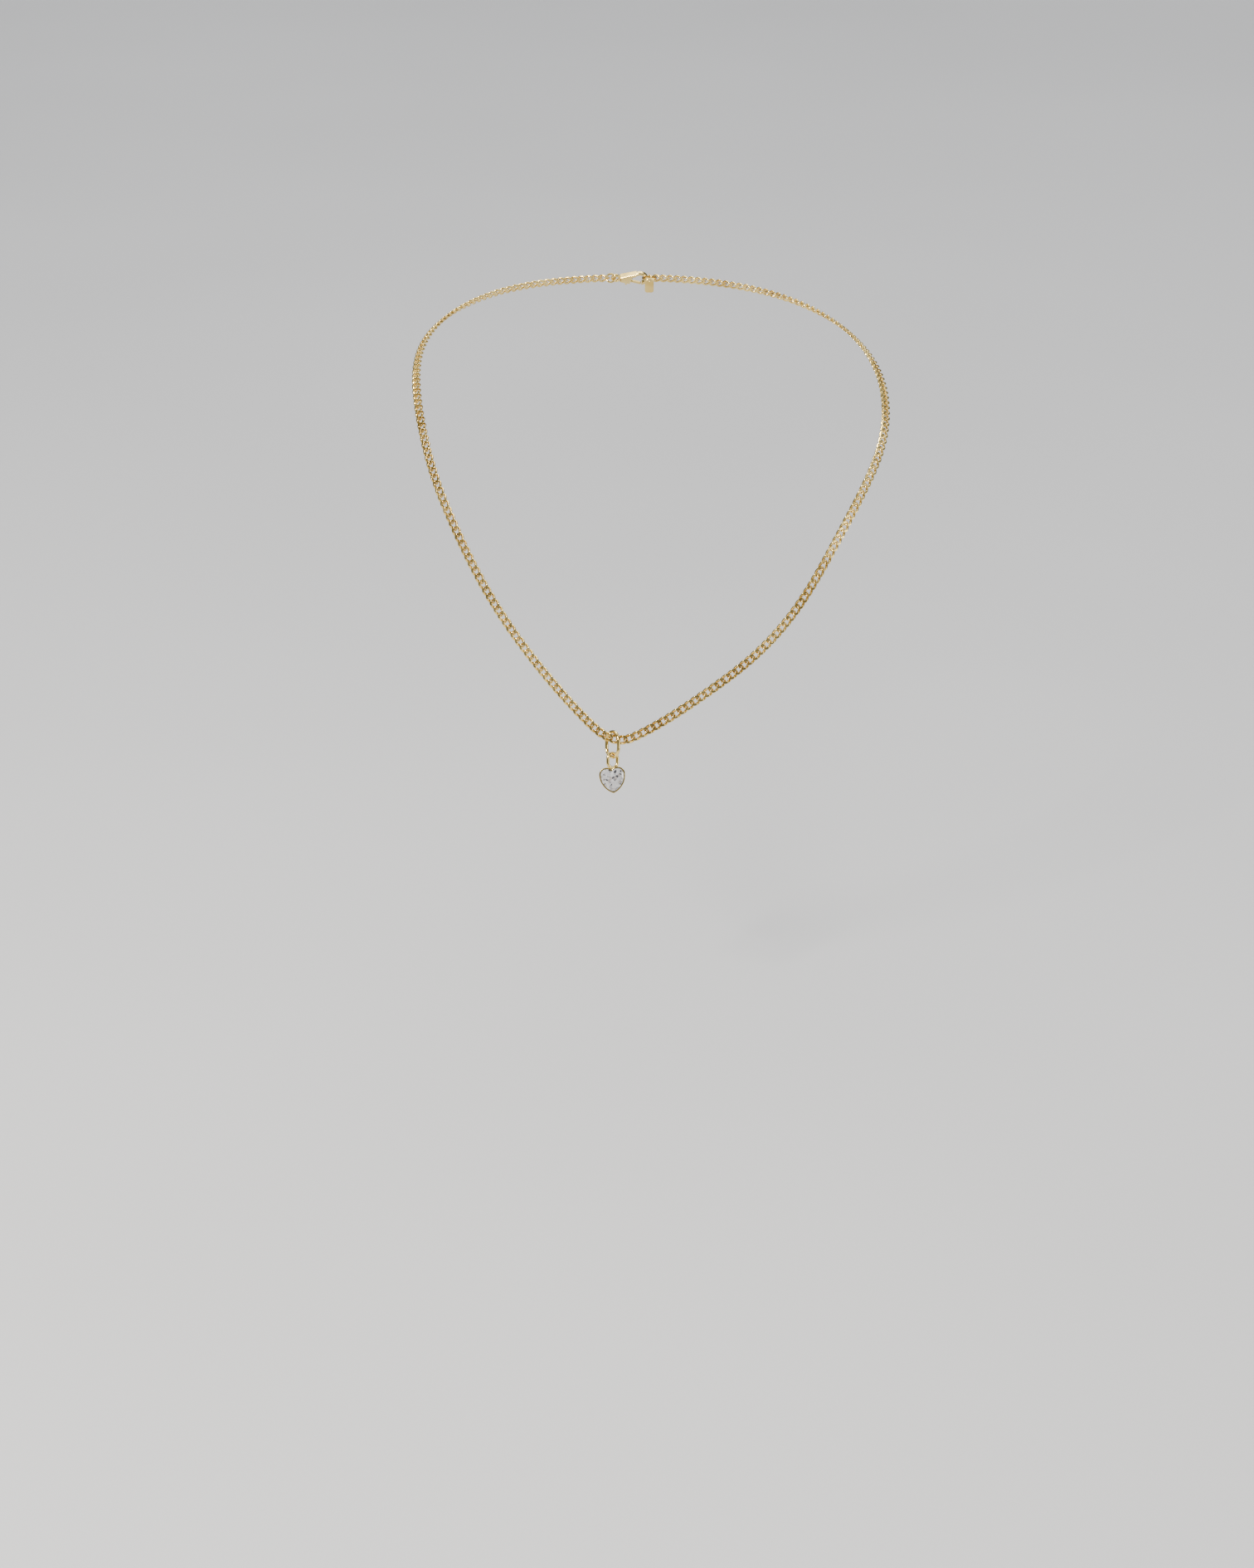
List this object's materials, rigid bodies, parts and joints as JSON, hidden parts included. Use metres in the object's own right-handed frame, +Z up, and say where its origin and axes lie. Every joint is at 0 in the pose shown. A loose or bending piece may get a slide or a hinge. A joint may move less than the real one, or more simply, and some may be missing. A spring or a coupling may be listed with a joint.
{
  "type": "pendant necklace",
  "caption": "Fine flat curb chain with an oval bail, a small heart-shaped bezel pendant with one clear heart-cut stone, and a lobster clasp, laid as worn on a neck.",
  "frame": {"origin": "the point on the skin of the nape that the middle of the clasp rests against", "axes": "+Z up, -Y the wearer's front, where the pendant hangs, and +X the right of someone facing the pendant"},
  "size_m": [0.133, 0.1325, 0.1126],
  "materials": {
    "gold_chain": "polished with diamond-cut flats, gold coloured",
    "gold_polished": "polished, gold coloured",
    "clear_stone": "faceted and polished",
    "spring_steel": "bright drawn wire"
  },
  "bodies": {
    "nape": {"chain_left_16": "gold_chain", "chain_right_16": "gold_chain", "clasp_body": "gold_polished", "clasp_rivet": "gold_polished", "gate_spring": "spring_steel", "jump_ring": "gold_polished", "end_ring": "gold_polished"},
    "drape_15": {"chain_left_15": "gold_chain", "chain_right_15": "gold_chain"},
    "drape_14": {"chain_left_14": "gold_chain", "chain_right_14": "gold_chain"},
    "drape_13": {"chain_left_13": "gold_chain", "chain_right_13": "gold_chain"},
    "drape_12": {"chain_left_12": "gold_chain", "chain_right_12": "gold_chain"},
    "drape_11": {"chain_left_11": "gold_chain", "chain_right_11": "gold_chain"},
    "drape_10": {"chain_left_10": "gold_chain", "chain_right_10": "gold_chain"},
    "drape_09": {"chain_left_09": "gold_chain", "chain_right_09": "gold_chain"},
    "drape_08": {"chain_left_08": "gold_chain", "chain_right_08": "gold_chain"},
    "drape_07": {"chain_left_07": "gold_chain", "chain_right_07": "gold_chain"},
    "drape_06": {"chain_left_06": "gold_chain", "chain_right_06": "gold_chain"},
    "drape_05": {"chain_left_05": "gold_chain", "chain_right_05": "gold_chain"},
    "drape_04": {"chain_left_04": "gold_chain", "chain_right_04": "gold_chain"},
    "drape_03": {"chain_left_03": "gold_chain", "chain_right_03": "gold_chain"},
    "drape_02": {"chain_left_02": "gold_chain", "chain_right_02": "gold_chain"},
    "drape_01": {"chain_left_01": "gold_chain", "chain_right_01": "gold_chain"},
    "bail": {"bail": "gold_polished"},
    "heart": {"heart_eyelet": "gold_polished", "heart_bezel": "gold_polished", "heart_back": "gold_polished", "heart_stone": "clear_stone"},
    "clasp_gate": {"clasp_gate": "gold_polished"},
    "tag": {"tag_ring": "gold_polished", "blank_tag": "gold_polished"}
  },
  "joints": [
    {"name": "drape_15_lift", "type": "hinge", "parent": "nape", "child": "drape_15", "pos_m": [0.00046, -0.00181, 0.00012], "axis": [-1, -0.0036, 0.0068], "range_deg": [-10, 10]},
    {"name": "drape_14_lift", "type": "hinge", "parent": "drape_15", "child": "drape_14", "pos_m": [0.00076, -0.00701, -0.00079], "axis": [-0.9997, -0.0226, 0.0138], "range_deg": [-10, 10]},
    {"name": "drape_13_lift", "type": "hinge", "parent": "drape_14", "child": "drape_13", "pos_m": [0.00136, -0.01525, -0.00256], "axis": [-0.9992, -0.035, 0.0181], "range_deg": [-10, 10]},
    {"name": "drape_12_lift", "type": "hinge", "parent": "drape_13", "child": "drape_12", "pos_m": [0.00218, -0.02619, -0.00507], "axis": [-0.9989, -0.0422, 0.0227], "range_deg": [-10, 10]},
    {"name": "drape_11_lift", "type": "hinge", "parent": "drape_12", "child": "drape_11", "pos_m": [0.00315, -0.03896, -0.00826], "axis": [-0.9986, -0.046, 0.0261], "range_deg": [-10, 10]},
    {"name": "drape_10_lift", "type": "hinge", "parent": "drape_11", "child": "drape_10", "pos_m": [0.00428, -0.05244, -0.01254], "axis": [-0.9986, -0.0469, 0.0252], "range_deg": [-10, 10]},
    {"name": "drape_09_lift", "type": "hinge", "parent": "drape_10", "child": "drape_09", "pos_m": [0.00535, -0.06539, -0.0188], "axis": [-0.9989, -0.0425, 0.0175], "range_deg": [-10, 10]},
    {"name": "drape_08_lift", "type": "hinge", "parent": "drape_09", "child": "drape_08", "pos_m": [0.00547, -0.07607, -0.02659], "axis": [-0.9995, -0.0244, 0.0205], "range_deg": [-10, 10]},
    {"name": "drape_07_lift", "type": "hinge", "parent": "drape_08", "child": "drape_07", "pos_m": [0.00447, -0.08503, -0.03559], "axis": [-0.9995, -0.0138, 0.0287], "range_deg": [-10, 10]},
    {"name": "drape_06_lift", "type": "hinge", "parent": "drape_07", "child": "drape_06", "pos_m": [0.00342, -0.09274, -0.04509], "axis": [-0.9991, -0.0059, 0.0411], "range_deg": [-10, 10]},
    {"name": "drape_05_lift", "type": "hinge", "parent": "drape_06", "child": "drape_05", "pos_m": [0.00255, -0.09929, -0.0551], "axis": [-0.9983, 0.0059, 0.0576], "range_deg": [-10, 10]},
    {"name": "drape_04_lift", "type": "hinge", "parent": "drape_05", "child": "drape_04", "pos_m": [0.00143, -0.10483, -0.06505], "axis": [-0.9968, 0.0188, 0.0772], "range_deg": [-10, 10]},
    {"name": "drape_03_lift", "type": "hinge", "parent": "drape_04", "child": "drape_03", "pos_m": [-0.00023, -0.10964, -0.07419], "axis": [-0.995, 0.0288, 0.0962], "range_deg": [-10, 10]},
    {"name": "drape_02_lift", "type": "hinge", "parent": "drape_03", "child": "drape_02", "pos_m": [-0.00223, -0.11394, -0.0824], "axis": [-0.9928, 0.0391, 0.1129], "range_deg": [-10, 10]},
    {"name": "drape_01_lift", "type": "hinge", "parent": "drape_02", "child": "drape_01", "pos_m": [-0.00422, -0.11784, -0.09009], "axis": [-0.9864, 0.0599, 0.153], "range_deg": [-10, 10]},
    {"name": "bail_swing", "type": "hinge", "parent": "drape_01", "child": "bail", "pos_m": [-0.0062, -0.1203, -0.0955], "axis": [-1, 0, 0], "range_deg": [-10, 75]},
    {"name": "heart_swing", "type": "hinge", "parent": "bail", "child": "heart", "pos_m": [-0.0057, -0.12212, -0.10029], "axis": [0.6157, -0.728, 0.3016], "range_deg": [-60, 60]},
    {"name": "clasp_gate_open", "type": "hinge", "parent": "nape", "child": "clasp_gate", "pos_m": [-0.0016, 0.00118, -0.00015], "axis": [0, -0.866, -0.5], "range_deg": [0, 28], "stiffness_Nm_per_rad": 0.0008, "springref_deg": -20.05, "deforming": ["gate_spring"]},
    {"name": "tag_swing", "type": "hinge", "parent": "nape", "child": "tag", "pos_m": [0.00472, 0.0027, 0.0005], "axis": [1, 0, 0], "range_deg": [-30, 60]}
  ]
}
